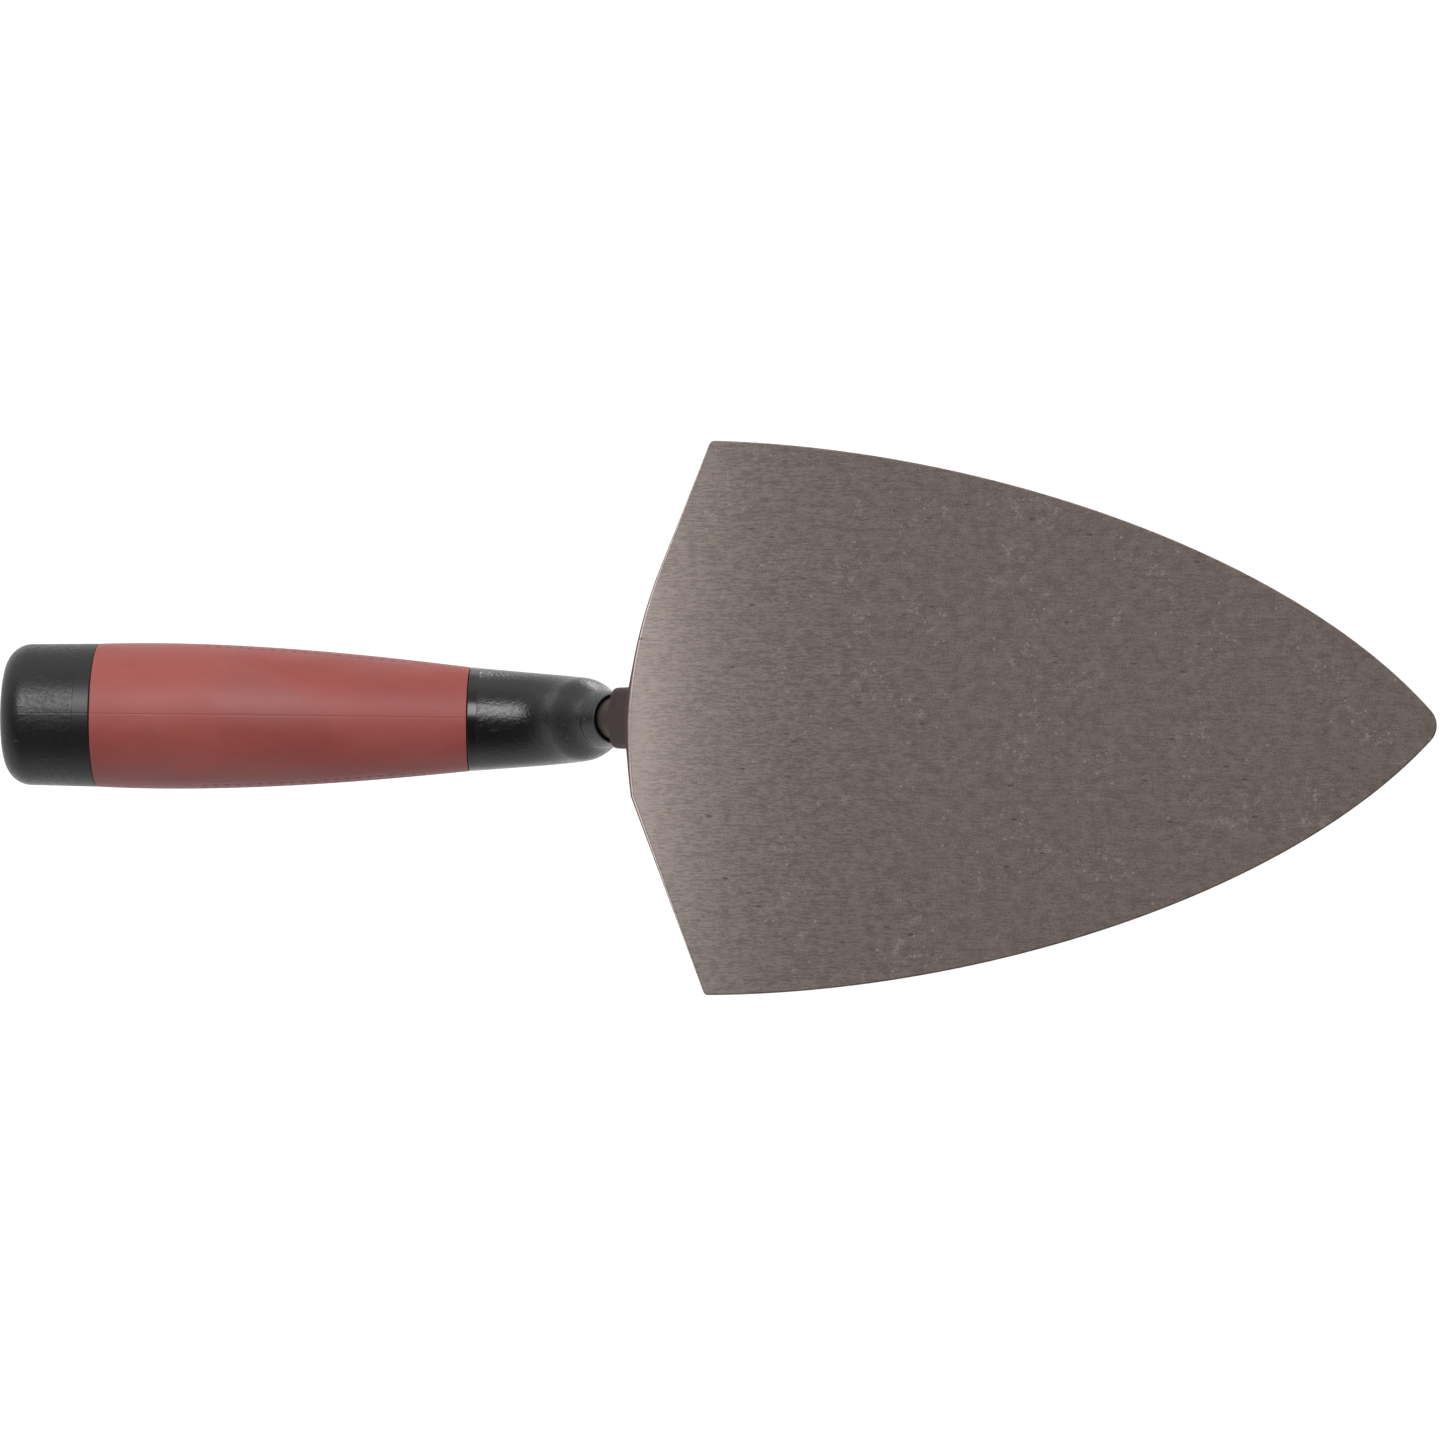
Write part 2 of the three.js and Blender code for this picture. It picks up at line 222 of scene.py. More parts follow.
def newMaterial(name):
    material = bpy.data.materials.new(name)
    material.use_nodes = True
    tree = material.node_tree
    shader = tree.nodes["Principled BSDF"]
    place = addNode(tree, "ShaderNodeTexCoord").outputs["Object"]
    return material, tree, shader, place


def newGroup(name, inputs, outputs):
    # A shader node group with named number, colour or vector sockets.
    group = bpy.data.node_groups.new(name, "ShaderNodeTree")
    for (title, kind), way in [(s, "INPUT") for s in inputs] + [(s, "OUTPUT") for s in outputs]:
        group.interface.new_socket(title, in_out=way, socket_type="NodeSocket" + kind)
    return group, group.nodes.new("NodeGroupInput").outputs, group.nodes.new("NodeGroupOutput").inputs


def useGroup(tree, group, inputs):
    return addNode(tree, "ShaderNodeGroup", inputs, node_tree=group).outputs


def buildMouldGrain():
    # Fine spark-eroded grain: two sizes of noise added up into a height, with a mask for smooth bands.
    group, given, result = newGroup(
        "mouldGrain",
        [("Place", "Vector"), ("Size", "Float"), ("Smooth", "Float")],
        [("Height", "Float"), ("Grain", "Float")],
    )
    coarse = noise(group, given["Place"], given["Size"], detail=3)
    fine = noise(group, given["Place"], mathNode(group, "MULTIPLY", given["Size"], 2.7), detail=1)
    both = mathNode(group, "ADD", mathNode(group, "MULTIPLY", fine, 0.45), coarse)
    keep = mathNode(group, "SUBTRACT", 1.0, given["Smooth"], clamp=True)
    group.links.new(mathNode(group, "MULTIPLY", both, keep), result["Height"])
    group.links.new(mapRange(group, both, 0.5, 0.95, 0, 1), result["Grain"])
    return group


def buildHandling():
    # Marks of handling: soft broad smudges, and a few thin scuffs from noise that is stretched lengthwise.
    group, given, result = newGroup(
        "handling",
        [("Place", "Vector")],
        [("Smudge", "Float"), ("Scuff", "Float")],
    )
    broad = noise(group, given["Place"], 55.0, detail=4, roughness=0.6)
    group.links.new(mapRange(group, broad, 0.42, 0.68, 0, 1), result["Smudge"])
    streaks = stretched(group, given["Place"], (90, 1300, 1300), turn=4)
    thin = noise(group, streaks, 1.0, detail=2)
    patch = mapRange(group, noise(group, given["Place"], 120.0), 0.5, 0.62, 0, 1)
    scuff = mathNode(group, "MULTIPLY", mapRange(group, thin, 0.66, 0.74, 0, 1), patch)
    group.links.new(scuff, result["Scuff"])
    return group


mouldGrain, handling = buildMouldGrain(), buildHandling()

steelLook = dict(
    ground=(0.47, 0.385, 0.348, 1),
    groundDark=(0.27, 0.219, 0.198, 1),
    # colour of the painted highlight at the heel
    heel=(0.95, 0.81, 0.765, 1),
    # colours of the darker skin of the root and shank: forged finish, partly painted shade
    forgedSkinAndShade=(0.15, 0.122, 0.114, 1),
    skinAndShadeDark=(0.12, 0.0976, 0.0912, 1),
    fleck=(0.88, 0.8, 0.765, 1),
    pit=(0.12, 0.105, 0.1, 1),
    heelLine=-0.016,          # X where the painted heel highlight is brightest
    heelDecay=0.014,          # length over which the painted heel highlight fades by a factor of e
    lineFade=0.08,            # length over which the lines fade from the first strength to the second
    lineStrength=(1.5, 0.55),
    fineLines=(480, 2700, 60),   # noise scales along X, Y and Z
    longLines=(90, 1700, 60),
    pitCells=(230, 640, 100),
    fleckCells=620.0,
    fleckStrength=0.36,
    pitStrength=0.6,
    roughness=0.42,
    forgedRoughness=0.26,     # added to the blade's
    depth=0.00003,            # of the lines and pits
)


def steelMaterial():
    # Ground blade: fine lengthwise lines, strongest and deepest at the heel, with a painted highlight there,
    # and flecks, squiggles and short pits. The skin mark turns it into the darker, duller skin of the root
    # and the shank, which is partly painted shade.
    material, tree, shader, place = newMaterial("groundSteel")
    axes = addNode(tree, "ShaderNodeSeparateXYZ", {"Vector": place}).outputs
    forgedSkinAndShade = addNode(tree, "ShaderNodeAttribute", attribute_name="forgedSkinAndShade").outputs["Fac"]
    # Painted highlight: the heel is brighter by exp(-d / heelDecay), where d is how far a spot is forward
    # of the heel's line.
    forward = mathNode(tree, "SUBTRACT", axes["X"], steelLook["heelLine"])
    nearHeel = mathNode(tree, "DIVIDE", forward, -steelLook["heelDecay"])
    nearHeel = mathNode(tree, "EXPONENT", nearHeel, clamp=True)
    lines = mapRange(tree, forward, 0.0, steelLook["lineFade"], *steelLook["lineStrength"])

    # Lines: two noises drawn out along X, over coordinates that a third noise makes a little wavy.
    bend = addNode(tree, "ShaderNodeTexNoise", {"Vector": place, "Scale": 140.0, "Detail": 2.0})
    wavy = addNode(tree, "ShaderNodeVectorMath", {0: bend.outputs["Color"], 1: (0.0016, 0.0016, 0.0016)},
                   operation="MULTIPLY").outputs[0]
    wavy = addNode(tree, "ShaderNodeVectorMath", {0: wavy, 1: place}, operation="ADD").outputs[0]
    fineLines = noise(tree, stretched(tree, wavy, steelLook["fineLines"]), 1.0, detail=3, roughness=0.65)
    longLines = noise(tree, stretched(tree, wavy, steelLook["longLines"], turn=1.5), 1.0, detail=2)
    mottle = noise(tree, place, 330.0, detail=5, roughness=0.7)
    grain = noise(tree, place, 2600.0, detail=1)
    lineMix = mathNode(tree, "ADD", mathNode(tree, "MULTIPLY", fineLines, 0.7),
                       mathNode(tree, "MULTIPLY", longLines, 0.3))

    tone = mapRange(tree, lineMix, 0.36, 0.64, 0, 1)
    tone = mathNode(tree, "MULTIPLY_ADD", mathNode(tree, "SUBTRACT", tone, 0.5), lines, 0.5)
    tone = mathNode(tree, "ADD", tone, mapRange(tree, mottle, 0.3, 0.7, -0.3, 0.3))
    tone = mathNode(tree, "ADD", tone, mapRange(tree, grain, 0.3, 0.7, -0.3, 0.3), clamp=True)
    color = mixColor(tree, tone, steelLook["groundDark"], steelLook["ground"])
    # Painted highlight: the heel is mixed towards a near-white steel colour, following the lines' tone.
    glint = mathNode(tree, "MULTIPLY", nearHeel, mathNode(tree, "MULTIPLY_ADD", tone, 0.5, 0.75), clamp=True)
    color = mixColor(tree, glint, color, steelLook["heel"])

    # Flecks and pits: the middles of a few round cells, and of a few long ones.
    cells = addNode(tree, "ShaderNodeTexVoronoi", {"Vector": wavy, "Scale": steelLook["fleckCells"]})
    pick = addNode(tree, "ShaderNodeSeparateColor", {"Color": cells.outputs["Color"]}).outputs
    clusters = mapRange(tree, noise(tree, place, 75.0, detail=2), 0.5, 0.66, 0.04, 0.3)
    flecks = mathNode(tree, "MULTIPLY", mapRange(tree, cells.outputs["Distance"], 0.13, 0.28, 1, 0),
                      mathNode(tree, "LESS_THAN", pick["Red"], clusters))
    longCells = addNode(tree, "ShaderNodeTexVoronoi",
                        {"Vector": stretched(tree, wavy, steelLook["pitCells"]), "Scale": 1.0})
    pitPick = addNode(tree, "ShaderNodeSeparateColor", {"Color": longCells.outputs["Color"]}).outputs
    pits = mathNode(tree, "MULTIPLY", mapRange(tree, longCells.outputs["Distance"], 0.1, 0.24, 1, 0),
                    mathNode(tree, "GREATER_THAN", pitPick["Green"], 0.92))
    # Squiggles: where one noise crosses its middle, inside the small patches of another.
    ripple = mathNode(tree, "SUBTRACT", noise(tree, place, 1500.0, detail=1), 0.5)
    squiggles = mapRange(tree, mathNode(tree, "ABSOLUTE", ripple), 0.01, 0.07, 1, 0)
    patches = mapRange(tree, noise(tree, place, 420.0), 0.55, 0.65, 0, 1)
    squiggles = mathNode(tree, "MULTIPLY", squiggles, mathNode(tree, "MULTIPLY", patches, clusters))
    flecks = mathNode(tree, "MULTIPLY_ADD", squiggles, 6.0, flecks, clamp=True)
    pale = mathNode(tree, "MULTIPLY", flecks, steelLook["fleckStrength"])
    dark = mathNode(tree, "MULTIPLY", pits, steelLook["pitStrength"])
    color = mixColor(tree, pale, color, steelLook["fleck"])
    color = mixColor(tree, dark, color, steelLook["pit"])
    # Darker, duller skin: forged finish, partly painted shade, and painted shade on the raked heel face.
    skin = mixColor(tree, mottle, steelLook["forgedSkinAndShade"], steelLook["skinAndShadeDark"])
    color = mixColor(tree, forgedSkinAndShade, color, skin)
    tree.links.new(color, shader.inputs["Base Color"])

    roughness = mathNode(tree, "SUBTRACT", tone, 0.5)
    roughness = mathNode(tree, "MULTIPLY_ADD", roughness, 0.06, steelLook["roughness"])
    roughness = mathNode(tree, "MULTIPLY_ADD", forgedSkinAndShade, steelLook["forgedRoughness"], roughness)
    tree.links.new(roughness, shader.inputs["Roughness"])
    shader.inputs["Metallic"].default_value = 1.0

    height = mathNode(tree, "MULTIPLY", lineMix, lines)
    height = mathNode(tree, "SUBTRACT", height, dark)
    height = mathNode(tree, "MULTIPLY_ADD", mathNode(tree, "MULTIPLY", mottle, forgedSkinAndShade), 1.2, height)
    bump = addNode(tree, "ShaderNodeBump",
                   {"Height": height, "Strength": 0.35, "Distance": steelLook["depth"]})
    tree.links.new(bump.outputs["Normal"], shader.inputs["Normal"])
    return material


coreLook = dict(
    color=(0.0045, 0.0045, 0.0048),
    roughness=0.33,
    bandRoughness=0.2,
    grainSize=1050.0,
    grainDepth=0.0001,        # metres
    specular=0.48,
)
capLook = dict(
    color=(0.0055, 0.0055, 0.0058),
    roughness=0.42,
    bandRoughness=0.4,
    grainSize=1000.0,
    grainDepth=0.0001,
    specular=0.42,
)
collarLook = dict(
    color=(0.006, 0.008, 0.0085),
    roughness=0.42,
    bandRoughness=0.42,
    grainSize=1500.0,
    grainDepth=0.00004,
    specular=0.5,
)
scuffGrey = (0.16, 0.16, 0.16, 1)


def blackPlastic(name, color, roughness, bandRoughness, grainSize, grainDepth, specular):
    # Moulded black plastic: a grained skin with a smooth band, faint smudges and a few paler scuffs.
    material, tree, shader, place = newMaterial(name)
    band = addNode(tree, "ShaderNodeAttribute", attribute_name="smoothBand").outputs["Fac"]
    grain = useGroup(tree, mouldGrain, {"Place": place, "Size": grainSize, "Smooth": band})
    marks = useGroup(tree, handling, {"Place": place})
    pale = tuple(1.9 * c for c in color) + (1,)
    shade = mixColor(tree, mathNode(tree, "MULTIPLY", grain["Grain"], 0.35), color + (1,), pale)
    shade = mixColor(tree, mathNode(tree, "MULTIPLY", marks["Scuff"], 0.35), shade, scuffGrey)
    tree.links.new(shade, shader.inputs["Base Color"])
    skin = mathNode(tree, "MULTIPLY_ADD", marks["Smudge"], 0.06, roughness)
    skin = mathNode(tree, "MULTIPLY_ADD", grain["Grain"], -0.14, skin)
    change = mathNode(tree, "SUBTRACT", bandRoughness, skin)
    tree.links.new(mathNode(tree, "MULTIPLY_ADD", band, change, skin), shader.inputs["Roughness"])
    shader.inputs["Specular IOR Level"].default_value = specular
    bump = addNode(tree, "ShaderNodeBump",
                   {"Height": grain["Height"], "Strength": 0.8, "Distance": grainDepth})
    tree.links.new(bump.outputs["Normal"], shader.inputs["Normal"])
    return material


gripLook = dict(
    red=(0.27, 0.05, 0.0425, 1),
    worn=(0.288, 0.064, 0.055, 1),
    # dark colour for the smudges, the specks, and the dirt and painted shade in the recesses
    dirtAndShade=(0.12, 0.045, 0.04, 1),
    fading=(40, 110, 110),    # noise scales along X, Y and Z
    smudge=0.18,
    speckCells=230.0,
    speckShare=0.07,          # share of the cells that hold a speck
    speck=0.45,
    recessDirtAndShade=0.7,
    roughness=0.55,
    specular=0.42,
    sheen=0.06,
    grainSize=1500.0,
    grainDepth=0.00001,       # metres
)


def gripMaterial():
    # Soft red rubber: slight fading, faint smudges and dark specks, and dirt with painted shade in the
    # dimples and the parting line.
    material, tree, shader, place = newMaterial("redRubber")
    marks = useGroup(tree, handling, {"Place": place})
    grain = useGroup(tree, mouldGrain, {"Place": place, "Size": gripLook["grainSize"], "Smooth": 0.0})
    recess = addNode(tree, "ShaderNodeAttribute", attribute_name="recess").outputs["Fac"]
    fade = noise(tree, stretched(tree, place, gripLook["fading"]), 1.0, detail=4)
    color = mixColor(tree, mapRange(tree, fade, 0.38, 0.66, 0, 1), gripLook["red"], gripLook["worn"])
    smudge = mathNode(tree, "MULTIPLY", marks["Smudge"], gripLook["smudge"])
    specks = addNode(tree, "ShaderNodeTexVoronoi", {"Vector": place, "Scale": gripLook["speckCells"]})
    pick = addNode(tree, "ShaderNodeSeparateColor", {"Color": specks.outputs["Color"]}).outputs
    dots = mathNode(tree, "MULTIPLY", mapRange(tree, specks.outputs["Distance"], 0.03, 0.09, 1, 0),
                    mathNode(tree, "GREATER_THAN", pick["Red"], 1 - gripLook["speckShare"]))
    dots = mathNode(tree, "MULTIPLY", dots, gripLook["speck"])
    # Dirt and painted shade in the dimples and the parting line.
    seamDirtAndShade = mathNode(tree, "MULTIPLY", recess, gripLook["recessDirtAndShade"])
    for dirtAndShade in (smudge, dots, seamDirtAndShade):
        color = mixColor(tree, dirtAndShade, color, gripLook["dirtAndShade"])
    tree.links.new(color, shader.inputs["Base Color"])
    rough = mathNode(tree, "MULTIPLY_ADD", marks["Smudge"], -0.06, gripLook["roughness"])
    tree.links.new(rough, shader.inputs["Roughness"])
    shader.inputs["Specular IOR Level"].default_value = gripLook["specular"]
    shader.inputs["Sheen Weight"].default_value = gripLook["sheen"]
    shader.inputs["Sheen Roughness"].default_value = 0.5
    bump = addNode(tree, "ShaderNodeBump",
                   {"Height": grain["Height"], "Strength": 0.3, "Distance": gripLook["grainDepth"]})
    tree.links.new(bump.outputs["Normal"], shader.inputs["Normal"])
    return material


steel = steelMaterial()
corePlastic = blackPlastic("corePlastic", **coreLook)
capPlastic = blackPlastic("capPlastic", **capLook)
collarPlastic = blackPlastic("collarPlastic", **collarLook)
redRubber = gripMaterial()
print("materials made")


# One forging: the blade, its root, the shank and the tang.

blade = dict(
    length=forgingHigh[0],    # from the line between the heel corners to the tip
    halfWidth=forgingHigh[1],
    heelThickness=2.3,
    tipThickness=1.2,
    tipRadius=5.15,
    sideLean=1.0,             # of a side at the heel, and where it runs into the tip's arc
    tipLean=48.0,
    sidePull=63.2,            # reach of the side curve's two handles
    tipPull=47.5,
    cornerRadius=1.0,
    heelAngle=20.5,
    leftShoulder=18.3,        # Y where each straight heel edge ends
    rightShoulder=-32.05,
    heelDepth=17.9,
    heelDeepest=3.0,          # Y of the heel's deepest point, and of its two control points
    leftPull=11.0,
    rightPull=-14.0,
    bevel=0.1,
    heelBevel=0.12,           # added to the bevel along the heel
    heelRake=0.3,             # how far the heel's face leans back for each millimetre of height
    flatInset=0.45,           # from the outline to the end of the plain underside
)

root = dict(
    middle=-12.0,             # X of the point that all rings turn round
    fanHeight=2.1,
    fanBack=-16.0,            # X where the fan is full, and where it has run out
    fanFront=38.0,
    fanHalfWidth=7.5,         # at the heel, growing by fanSpread for each millimetre forward
    fanSpread=0.3,
    fanShape=2.3,             # power of the bell's exponent
    blockBase=-20.0,          # distances along the spine, below the nose's mouth
    blockTop=-14.3,
    neckBase=-10.6,
    neckTop=-6.5,
    blockHalfHeight=5.7,
    blockHalfWidth=7.1,
    blockShift=0.1,
    blockSquareness=9.0,
    neckRadius=5.4,
    shankRadius=5.0,
    backFlare=0.15,           # reach of the fillet behind the block, and what is added in front of it
    frontFlare=9.5,
    flareShape=1.3,
    filletPull=1.15,
    skinFade=2.5,             # length over which the forged skin fades by a factor of e on the blade
    tangShoulder=8.0,         # distance past the mouth over which the shank narrows to the tang
    tangStart=4.1,
    tangEnd=2.6,
    tangSquareness=3.0,
    tangReach=68.0,
)


def bladeOutline():
    # Round the blade from the tip: half of the tip's arc, a cubic side, the corner, the straight heel edge,
    # two quadratic halves of the bowed heel, and the same again in reverse.
    slope = np.tan(np.radians(blade["heelAngle"]))
    half, r = blade["halfWidth"], blade["cornerRadius"]
    lean0, lean1 = np.radians(blade["sideLean"]), np.radians(blade["tipLean"])
    arcEnd = np.pi / 2 - lean1
    centre = blade["length"] - blade["tipRadius"]

    def tipArc(start, end):
        angle = np.linspace(start, end, 13)
        return [centre, 0] + blade["tipRadius"] * np.stack([np.cos(angle), np.sin(angle)], axis=-1)

    def side(sign):
        end = tipArc(arcEnd, arcEnd)[0]
        fromTip = end + blade["tipPull"] * np.array([-np.cos(lean1), np.sin(lean1)])
        fromHeel = np.array([blade["sidePull"] * np.cos(lean0), half - blade["sidePull"] * np.sin(lean0)])
        return bezier([end, fromTip, fromHeel, (r, half)], 116) * [1, sign]

    def corner(sign):
        return bezier([(r, half), (0, half), (-r * slope, half - r)], 8) * [1, sign]

    def shoulder(y):
        return np.array([-(half - abs(y)) * slope, y])

    left, right = shoulder(blade["leftShoulder"]), shoulder(blade["rightShoulder"])
    deepest = (-blade["heelDepth"], blade["heelDeepest"])
    parts = [
        tipArc(0, arcEnd), side(1), corner(1),
        bezier([corner(1)[-1], left], 34),
        bezier([left, (-blade["heelDepth"], blade["leftPull"]), deepest], 26),
        bezier([deepest, (-blade["heelDepth"], blade["rightPull"]), right], 46),
        bezier([right, corner(-1)[-1]], 26),
        corner(-1)[::-1], side(-1)[::-1], tipArc(-arcEnd, 0),
    ]
    return np.vstack([part[:-1] for part in parts])


def topHeight(x, y):
    # Upper face: a plane that thins from heel to tip, plus the fan, whose height fades forward and whose
    # section is a bell that widens forward.
    taper = blade["heelThickness"] + (blade["tipThickness"] - blade["heelThickness"]) * x / blade["length"]
    forward = 1 - smoothStep(root["fanBack"], root["fanFront"], x)
    width = root["fanHalfWidth"] + root["fanSpread"] * np.maximum(x - root["fanBack"], 0)
    return taper + root["fanHeight"] * forward * np.exp(-np.abs(y / width) ** root["fanShape"])


def flat(points, z):
    # Plan points, with one height for all or one for each.
    return np.column_stack([points, np.broadcast_to(z, len(points))])


def onFace(points):
    # Plan points lifted onto the upper face.
    return flat(points[:, :2], topHeight(points[:, 0], points[:, 1]))


def heelRake(outline):
    # Lean of the heel's face: most at its middle, none at its corners or along the blade's sides.
    return blade["heelRake"] * (1 - np.abs(outline[:, 1]) / blade["halfWidth"]) * (outline[:, 0] < 0)


def undersideRings(outline, outward):
    # Straight lines from one point out to the outline, then the bevelled lower edge.
    hub = np.array([root["middle"], 0.0])
    inner = outline - outward * blade["flatInset"]
    bevel = (blade["bevel"] + blade["heelBevel"] * (outline[:, 0] < 0))[:, None]
    return [flat(hub + (inner - hub) * r, 0.0) for r in (0, 0.3, 0.6, 0.85, 1)] + [
        flat(outline - outward * bevel, 0.0),
        flat(outline - outward * bevel * 0.6, 0.6 * bevel[:, 0]),
        flat(outline, 1.5 * bevel[:, 0]),
    ]


def edgeRings(outline, outward):
    # Edge face by share of its height and by inset: it leans back, and rounds over onto the upper face.
    lean = heelRake(outline) * topHeight(outline[:, 0], outline[:, 1])
    upper = outline - np.column_stack([lean, np.zeros(len(outline))])
    rings = []
    for share, inset in ((0.35, 0), (0.7, 0), (0.9, 0.02), (0.97, 0.12), (1.0, 0.3)):
        ring = outline + (upper - outline) * share - outward * inset
        rings.append(flat(ring, topHeight(ring[:, 0], ring[:, 1]) * share))
    return rings


def rootFoot(block, rim, angles):
    # Foot of the root block: its section slid down the shank onto the upper face, then flared outwards by
    # a reach that grows with (1 + cos a) / 2 towards the front, and kept inside the rim.
    foot = block.copy()
    for _ in range(5):
        drop = (foot[:, 2] - topHeight(foot[:, 0], foot[:, 1])) / shankUp[2]
        foot = foot - drop[:, None] * shankUp
    flare = root["backFlare"] + root["frontFlare"] * ((1 + np.cos(angles)) / 2) ** root["flareShape"]
    away = foot[:, :2] - foot[:, :2].mean(axis=0)
    away /= np.linalg.norm(away, axis=1, keepdims=True)
    foot[:, :2] += flare[:, None] * away
    centre = np.array([root["middle"], 0.0])
    room = np.linalg.norm(rim - centre, axis=1) - 0.1
    reach = np.linalg.norm(foot[:, :2] - centre, axis=1)
    foot[:, :2] = centre + (foot[:, :2] - centre) * np.minimum(1, room / reach)[:, None]
    return onFace(foot), flare, away


def filletRings(foot, block, flare, away):
    # Hermite curves from the foot up to the block. They leave the face level where the flare is wide, and
    # arrive along the shank.
    gap = np.linalg.norm(block - foot, axis=1)[:, None] * root["filletPull"]
    level = np.column_stack([-away, np.zeros(len(away))])
    blendIn = np.clip(flare / 3, 0, 1)[:, None]
    leave = gap * (level * blendIn + shankUp * (1 - blendIn))
    arrive = gap * shankUp
    return [
        foot * (2 * t**3 - 3 * t**2 + 1) + leave * (t**3 - 2 * t**2 + t)
        + block * (3 * t**2 - 2 * t**3) + arrive * (t**3 - t**2)
        for t in np.linspace(0, 1, 19)[1:]
    ]


def shankRings(angles):
    # Block, neck and shank up to the nose, then the tang inside the handle. Each size goes from one value
    # to the next by a smooth step of the distance.
    tangEnd = seamDistance + root["tangReach"]
    stations = [(root["blockBase"], root["blockTop"], 8), (root["blockTop"], root["neckBase"], 13),
                (root["neckBase"], 0, 20), (0, tangEnd, 40)]
    distance = np.concatenate([np.linspace(*station)[1:] for station in stations])
    shoulder = smoothStep(root["blockTop"], root["neckBase"], distance)
    slim = smoothStep(root["neckBase"], root["neckTop"], distance)
    inside = smoothStep(0, root["tangShoulder"], distance)
    taper = np.clip((distance - root["tangShoulder"]) / (tangEnd - root["tangShoulder"]), 0, 1)
    radius = root["neckRadius"] + (root["shankRadius"] - root["neckRadius"]) * slim
    radius = radius + (root["tangStart"] - root["shankRadius"]) * inside
    radius = radius + (root["tangEnd"] - root["tangStart"]) * taper
    halfHeight = root["blockHalfHeight"] + (radius - root["blockHalfHeight"]) * shoulder
    halfWidth = root["blockHalfWidth"] + (radius - root["blockHalfWidth"]) * shoulder
    squareness = root["blockSquareness"] + (2 - root["blockSquareness"]) * shoulder
    squareness = squareness + (root["tangSquareness"] - 2) * inside
    sideShift = root["blockShift"] * (1 - shoulder)
    rings = sweepRings(distance, halfHeight, halfWidth, angles, squareness, sideShift)
    return list(rings) + [rings[-1]]


def forgingRings():
    # Every ring runs round the whole forging: underside, edge, upper face, fillet, and up the shank.
    outline = bladeOutline()
    tangent = np.roll(outline, -1, axis=0) - np.roll(outline, 1, axis=0)
    tangent /= np.linalg.norm(tangent, axis=1, keepdims=True)
    outward = np.stack([tangent[:, 1], -tangent[:, 0]], axis=-1)
    angles = np.unwrap(np.arctan2(outline[:, 1], outline[:, 0] - root["middle"]))

    under, edge = undersideRings(outline, outward), edgeRings(outline, outward)
    rim = edge[-1][:, :2]
    block = sweepRings([root["blockBase"]], root["blockHalfHeight"], root["blockHalfWidth"], angles,
                       root["blockSquareness"], root["blockShift"])[0]
    foot, flare, away = rootFoot(block, rim, angles)
    # Upper face: straight lines in plan from the rim to the foot, closer together near the foot.
    inward = 1 - (1 - np.linspace(0, 1, 46)[1:]) ** 1.7
    face = [onFace(rim + (foot[:, :2] - rim) * share) for share in inward]
    rings = np.array(under + edge + face + filletRings(foot, block, flare, away) + shankRings(angles))

    # Skin mark: all of the root and shank, the raked heel face, and a fading ring round the foot. It is
    # darker forged skin that is partly painted shade, and on the raked heel face it is painted shade.
    faceStart = len(under) + len(edge)
    faceEnd = faceStart + len(face)
    forgedSkinAndShade = np.zeros(rings.shape[:2])
    forgedSkinAndShade[faceEnd:] = 1
    # The raked heel face gets the dark skin as painted shade.
    forgedSkinAndShade[len(under):len(under) + 3] = heelRake(outline) > 0
    fromFoot = np.linalg.norm(rings[faceStart:faceEnd, :, :2] - foot[:, :2], axis=2)
    forgedSkinAndShade[faceStart:faceEnd] = np.exp(-fromFoot / root["skinFade"])
    return rings, forgedSkinAndShade


forgingGrid, skinAndShadeMark = forgingRings()
forging = putSurface("bladeForging", forgingGrid, steel, startPole=True, endPole=True,
                     marks={"forgedSkinAndShade": skinAndShadeMark})
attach(forging, "root")
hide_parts("blade_forging")


collar = dict(
    gap=0.3,                  # from the nose's mouth to the collar
    length=5.6,
    baseRadius=6.6,
    endRadius=5.95,
    bore=5.35,
)
roundAngles = np.linspace(0, 2 * np.pi, 96, endpoint=False)


def collarRings():
    # A closed profile turned round the shank: bore, rounded end, outer cone with a step, and base.
    c = collar
    base, end = -c["gap"], -c["length"]
    profile = roundCorners([
        (base, c["bore"], 0),
        (end + 0.6, c["bore"], 0),
        (end, c["bore"] + 0.25, 0.12),
        (end, c["endRadius"] - 0.05, 0.25),
        (end + 0.9, c["endRadius"] + 0.1, 0.2),
        (base - 1.3, c["baseRadius"] - 0.1, 0.3),
        (base - 0.9, c["baseRadius"], 0.2),
        (base, c["baseRadius"], 0.2),
        (base, c["bore"] + 0.3, 0),
    ])
    return sweepRings(profile[:, 0], profile[:, 1], profile[:, 1], roundAngles)


collarPiece = putSurface("tangCollar", collarRings()[::-1], collarPlastic, looped=True)
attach(collarPiece, "root")
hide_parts("tang_collar")


def fromParting(angles):
    # Angle from the nearer parting line, between minus and plus a right angle.
    return (angles + np.pi / 2) % np.pi - np.pi / 2


def handleAngles(count=150):
    # Angles round the handle, gathered at the parting lines above and below to give their grooves a shape.
    steps = np.array([0.12, 0.25, 0.4, 0.6, 0.85, 1.2, 1.7])
    near = np.radians(np.concatenate([-steps[::-1], [0], steps]))
    even = np.linspace(0, 2 * np.pi, count, endpoint=False)
    clear = np.abs(fromParting(even)) > np.radians(2.2)
    return np.sort(np.concatenate([even[clear], near % (2 * np.pi), np.pi + near]))


